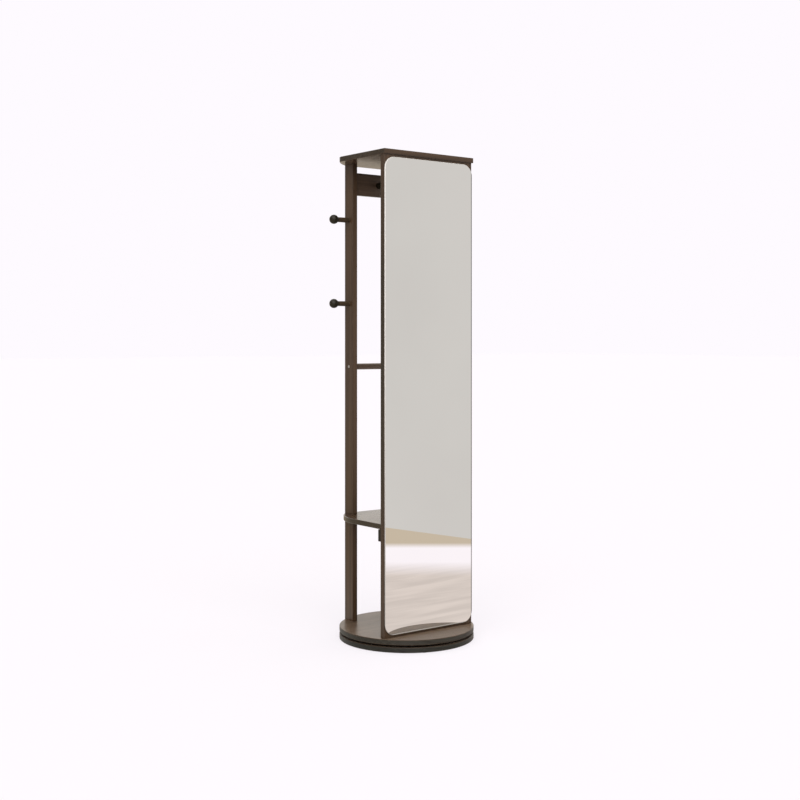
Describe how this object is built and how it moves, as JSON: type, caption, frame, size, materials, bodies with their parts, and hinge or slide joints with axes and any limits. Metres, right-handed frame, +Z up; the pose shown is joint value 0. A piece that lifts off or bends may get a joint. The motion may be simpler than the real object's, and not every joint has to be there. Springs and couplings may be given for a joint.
{
  "type": "revolving wardrobe stand",
  "caption": "Tall open wardrobe stand on a round swivel base, with a full-length mirror in front and posts, pegs, a hanging rail and a shelf behind it.",
  "frame": {"origin": "where the turning axis meets the floor, in the middle of the round base's felt pads", "axes": "+Z up along the turning axis; at rest the mirror faces -Y, and +X runs to the mirror's right edge as seen from the front"},
  "size_m": [0.4749, 0.475, 1.7],
  "materials": {
    "stained_wood": "dark walnut stain under satin lacquer",
    "dark_wood": "near-black walnut stain under satin lacquer",
    "mirror": "silvered float glass with a ground edge",
    "foam_tape": "white closed-cell foam",
    "ring_aluminium": "turned, natural",
    "ball_steel": "polished bearing steel",
    "cage_nylon": "natural white nylon",
    "zinc_plated_steel": "bright zinc plate",
    "cast_zinc": "cast, satin",
    "brown_caps": "fine matt, colour-matched to the wood",
    "beech_dowel": "plain, unlacquered",
    "felt": "pressed felt"
  },
  "bodies": {
    "base": {"floor_pads": "felt", "base_disc": "stained_wood", "bearing_outer_ring": "ring_aluminium", "outer_ring_screws": "zinc_plated_steel"},
    "ball_race": {"ball_cage": "cage_nylon", "bearing_balls": "ball_steel"},
    "carousel": {"turntable_disc": "stained_wood", "mirror_panel": "stained_wood", "top_board": "stained_wood", "shelf": "stained_wood", "shelf_batten": "stained_wood", "left_lower_post": "stained_wood", "right_lower_post": "stained_wood", "left_upper_post": "stained_wood", "right_upper_post": "stained_wood", "crossboard": "stained_wood", "stretcher_rod": "stained_wood", "hanging_rail": "dark_wood", "left_upper_peg": "dark_wood", "right_upper_peg": "dark_wood", "left_lower_peg": "dark_wood", "right_lower_peg": "dark_wood", "mirror_glass": "mirror", "mirror_tape": "foam_tape", "bearing_inner_ring": "ring_aluminium", "inner_ring_screws": "zinc_plated_steel", "base_panel_screws": "zinc_plated_steel", "top_panel_screws": "zinc_plated_steel", "batten_screws": "zinc_plated_steel", "shelf_screws": "zinc_plated_steel", "post_joint_studs": "zinc_plated_steel", "crossboard_cam_bolts": "zinc_plated_steel", "rail_stud": "zinc_plated_steel", "rail_end_screw": "zinc_plated_steel", "stretcher_screws": "zinc_plated_steel", "peg_studs": "zinc_plated_steel", "crossboard_cams": "cast_zinc", "top_screw_caps": "brown_caps", "base_dowels": "beech_dowel", "top_dowels": "beech_dowel", "post_joint_dowels": "beech_dowel", "crossboard_dowels": "beech_dowel"}
  },
  "joints": [
    {"name": "carousel_swivel", "type": "hinge", "parent": "base", "child": "carousel", "pos_m": [0, 0, 0.02375], "axis": [0, 0, 1], "continuous": true},
    {"name": "ball_race_roll", "type": "hinge", "parent": "base", "child": "ball_race", "pos_m": [0, 0, 0.02375], "axis": [0, 0, 1], "continuous": true}
  ],
  "couplings": [
    {"joint": "ball_race_roll", "follows": "carousel_swivel", "ratio": 0.4924}
  ]
}
